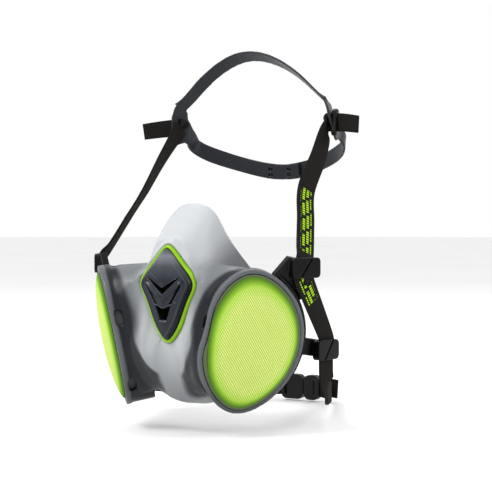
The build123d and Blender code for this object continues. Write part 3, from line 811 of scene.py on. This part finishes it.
def straps(side_name, side):
    """The head strap in two pieces, the run between the guides, the tail at the yoke and the neck strap."""
    def strap(name, body, node, points, normals, material="web", width=WEB_W, **options):
        widths = width if isinstance(width, (list, tuple)) else [width] * len(points)
        nodes = [node + "_" + side_name] if node else []
        return band(name + "_" + side_name, body, nodes, flipped(points, side), flipped(normals, side),
                    widths, WEB_T, MATERIALS[material], **options)

    to_temple = (TEMPLE - UPPER_GUIDE).normalized()
    to_yoke = (SLOT - TEMPLE).normalized()
    route = [UPPER_GUIDE - 3 * UP, UPPER_GUIDE + 3 * UP, UPPER_GUIDE + SWING * to_temple,
             UPPER_GUIDE + (TEMPLE - UPPER_GUIDE) * 0.6, TEMPLE, TEMPLE + (SLOT - TEMPLE) * 0.45,
             SLOT - 14 * to_yoke - 1.2 * YOKE_OUT, SLOT - 5 * to_yoke - 2.3 * YOKE_OUT, SLOT - 2.4 * YOKE_OUT]
    lean = [OUT, OUT, OUT, (OUT + TEMPLE_LEAN) / 2, TEMPLE_LEAN, (0.93, -0.28, 0.15), (0.97, -0.1, 0.1),
            YOKE_OUT, YOKE_OUT]
    widths = [WEB_W] * 7 + [WEB_W - 0.5, WEB_W - 1]
    low = strap("head_strap_low", None, "head_strap", route, lean, "print", widths, keep=(0, 4))
    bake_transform(low)
    high = strap("head_strap_high", None, None, route, lean, "web", widths, keep=(4, 8))
    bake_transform(high)
    strap("yoke_tail", "cradle", "strap_tail",
          [SLOT - 3 * YOKE_OUT + Vector((0, 2, -3)), SLOT - 2.6 * YOKE_OUT, SLOT + 0.4 * YOKE_OUT,
           SLOT + 3.8 * YOKE_OUT, Vector((80, 48, 135)), Vector((92.5, 42, 133.2))],
          [YOKE_OUT, (0.5, 0.85, 0), (0.1, 1, 0), (0.3, 0.95, 0), (0.4, 0.9, 0), (0.42, 0.9, 0.05)],
          width=[WEB_W - 1.4, WEB_W - 1.2, WEB_W - 1.4, WEB_W - 1.6, WEB_W - 2, WEB_W - 2.6])
    strap("mid_strap", "mask", "mid_strap",
          [UPPER_GUIDE + 4 * UP + 1.0 * OUT, UPPER_GUIDE - 4 * UP, UPPER_GUIDE - 9 * UP,
           LOWER_GUIDE + 9.5 * UP, LOWER_GUIDE + 4.5 * UP, LOWER_GUIDE - 5 * UP],
          [OUT, OUT, OUT, LOW_OUT, LOW_OUT, LOW_OUT], "badge")
    neck = [(86, 4, -24), (86, 4.2, -33.2), (86, 4.5, -42), (84.8, 8.5, -51), (78, 23, -58.5), (58, 60, -65),
            (43, 96, -70), (32, 120, -71), (18, 131, -71), (13.5, 132, -71)]
    lean = [LOW_OUT, LOW_OUT, LOW_OUT, (0.95, -0.2, 0.1), (0.93, 0.3, 0.1), (0.88, 0.45, 0), (0.93, 0.35, 0),
            (0.75, 0.65, 0), (0.5, 0.87, 0), (0.1, 1, 0)]
    around = strap("neck_webbing", None, "neck_strap", neck, lean, width=[WEB_W] * 8 + [14.5, 12.6])
    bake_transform(around)


def on_side(point, side):
    return tuple(Vector((side * point.x, point.y, point.z)) * MM)


MATERIALS["print"] = webbing("webbing_printed", marks=(16, 78))
MATERIALS["badge"] = webbing("webbing_badge", marks=(12, 34))
for side_name, side in SIDES:
    straps(side_name, side)
band("neck_strap_end", "neck_half_left", ["neck_tail"],
     [(13, 135.9, -71), (22, 136.6, -71), (31, 135, -71.5)], [(0, 1, 0)] * 3, [WEB_W] * 3, WEB_T, MATERIALS["web"])


# ---- Head cradle ---------------------------------------------------------------------------------
def fairing(side):
    """Meshes that widen each band of the cradle into the yoke on one side."""
    root = YOKE + 0.9 * YOKE_OUT
    yoke_lean = YOKE_OUT + 0.22 * UP
    runs = (
        ([root, (65.6, 60, 132.8), (65.2, 65, 130.3), (65.2, 69, 128.2), (66, 75, 123.2)],
         [yoke_lean, yoke_lean, (0.97, 0.15, 0.2), (0.98, 0.1, 0.2), (0.97, 0.2, 0.1)],
         [20, 17, 13.5, 12, 12]),
        ([root, (65.5, 52.0, 142), (64.2, 50.6, 149), (61.5, 50.4, 152.6), (57.5, 50.4, 156)],
         [yoke_lean, yoke_lean, (0.93, 0.2, 0.3), (0.88, 0.25, 0.38), (0.84, 0.3, 0.45)],
         [18, 16, 13.5, 12, 12]),
    )
    meshes = []
    for points, normals, widths in runs:
        scrap = band("scrap", None, [], flipped(points, side), flipped(normals, side), widths, 1.7, None)
        meshes.append(scrap.data)
        bpy.data.objects.remove(scrap)
    return meshes


def keeper(side_name, side):
    """The rounded loop on the yoke's outer side that holds the strap's end down."""
    along = Vector((-YOKE_OUT.y, YOKE_OUT.x, 0))
    outline = ((-4.6, -7.5), (-1.5, -10.2), (3.4, -9.4), (3.4, 9.4), (-1.5, 10.2), (-4.6, 7.5))
    verts = [on_side(SLOT + YOKE_OUT * out + along * (u + 0.26 * v) + UP * v, side)
             for out in (0.9, 5.2) for u, v in outline]
    faces = [(5, 4, 3, 2, 1, 0), (6, 7, 8, 9, 10, 11)]
    faces += [(j, (j + 1) % 6, (j + 1) % 6 + 6, j + 6) for j in range(6)]
    if side < 0:
        faces = [face[::-1] for face in faces]
    piece = new_piece("strap_keeper_" + side_name, verts, faces, "cradle", material=MATERIALS["frame"])
    modify(piece, "BEVEL", width=1.4 * MM, segments=4, limit_method="NONE")
    modify(piece, "WEIGHTED_NORMAL", keep_sharp=False)


def cradle():
    nodes = frame["nodes"]
    for side_name, side, rear, crown in (("left", 1, "cradle_rear_outer", ["crown_band"]),
                                         ("right", -1, "cradle_rear_inner", [])):
        members = [rear, *crown, "cradle_yoke_" + side_name]
        moulding("head_cradle_" + side_name, "cradle", [*[nodes[m].data for m in members], *fairing(side)],
                 0.5, 4, MATERIALS["cradle"], *members)


cradle()
for side_name, side in SIDES:
    keeper(side_name, side)


# ---- Studio --------------------------------------------------------------------------------------
AIM = Vector((0, 42, 45)) * MM  # what the camera looks at
CAMERA_YAW, CAMERA_PITCH, CAMERA_DISTANCE = 30, 1.5, 1.0
LENS, SENSOR = 97.5, 36


def orbit(yaw, pitch, distance):
    a, e = radians(yaw), radians(pitch)
    return AIM + distance * Vector((sin(a) * cos(e), -cos(a) * cos(e), sin(e)))


def look_at(thing, target):
    thing.rotation_euler = (target - thing.location).to_track_quat("-Z", "Y").to_euler()


def add_camera():
    data = bpy.data.cameras.new("camera")
    data.lens, data.sensor_width = LENS, SENSOR
    camera = bpy.data.objects.new("camera", data)
    bpy.context.collection.objects.link(camera)
    camera.location = orbit(CAMERA_YAW, CAMERA_PITCH, CAMERA_DISTANCE)
    look_at(camera, AIM)
    bpy.context.scene.camera = camera


def add_area(name, yaw, pitch, distance, size, power, color=(1, 1, 1)):
    data = bpy.data.lights.new(name, "AREA")
    data.size, data.energy, data.color = size, power, color
    light = bpy.data.objects.new(name, data)
    bpy.context.collection.objects.link(light)
    light.location = orbit(yaw, pitch, distance)
    look_at(light, AIM)


def add_floor(radius=7.0):
    s = Shader("floor", (0.86, 0.86, 0.86), 0.75)
    s.color(s.ramp(s.noise(3, 2), (0.3, 0.85), (0.7, 0.88)))
    mesh = bpy.data.meshes.new("floor")
    level = cad_box[0].z - 0.0015
    mesh.from_pydata([(radius * cos(k * pi / 32), radius * sin(k * pi / 32), level) for k in range(64)], [],
                     [tuple(range(64))])
    mesh.materials.append(s.material)
    floor = bpy.data.objects.new("floor", mesh)
    bpy.context.collection.objects.link(floor)


def add_world(shade=1.0, strength=1.0):
    world = bpy.data.worlds.new("studio")
    world.use_nodes = True
    background = world.node_tree.nodes["Background"]
    background.inputs["Color"].default_value = (shade, shade, shade, 1)
    background.inputs["Strength"].default_value = strength
    bpy.context.scene.world = world


bpy.context.scene.view_settings.view_transform = "Standard"
add_camera()
add_floor()
add_world()
add_area("key", -25, 48, 1.2, 0.4, 7)
add_area("front", -28, 32, 1.3, 0.3, 3)
add_area("side", 105, 30, 1.2, 0.4, 4)
add_area("back", 200, 50, 1.3, 0.9, 4)
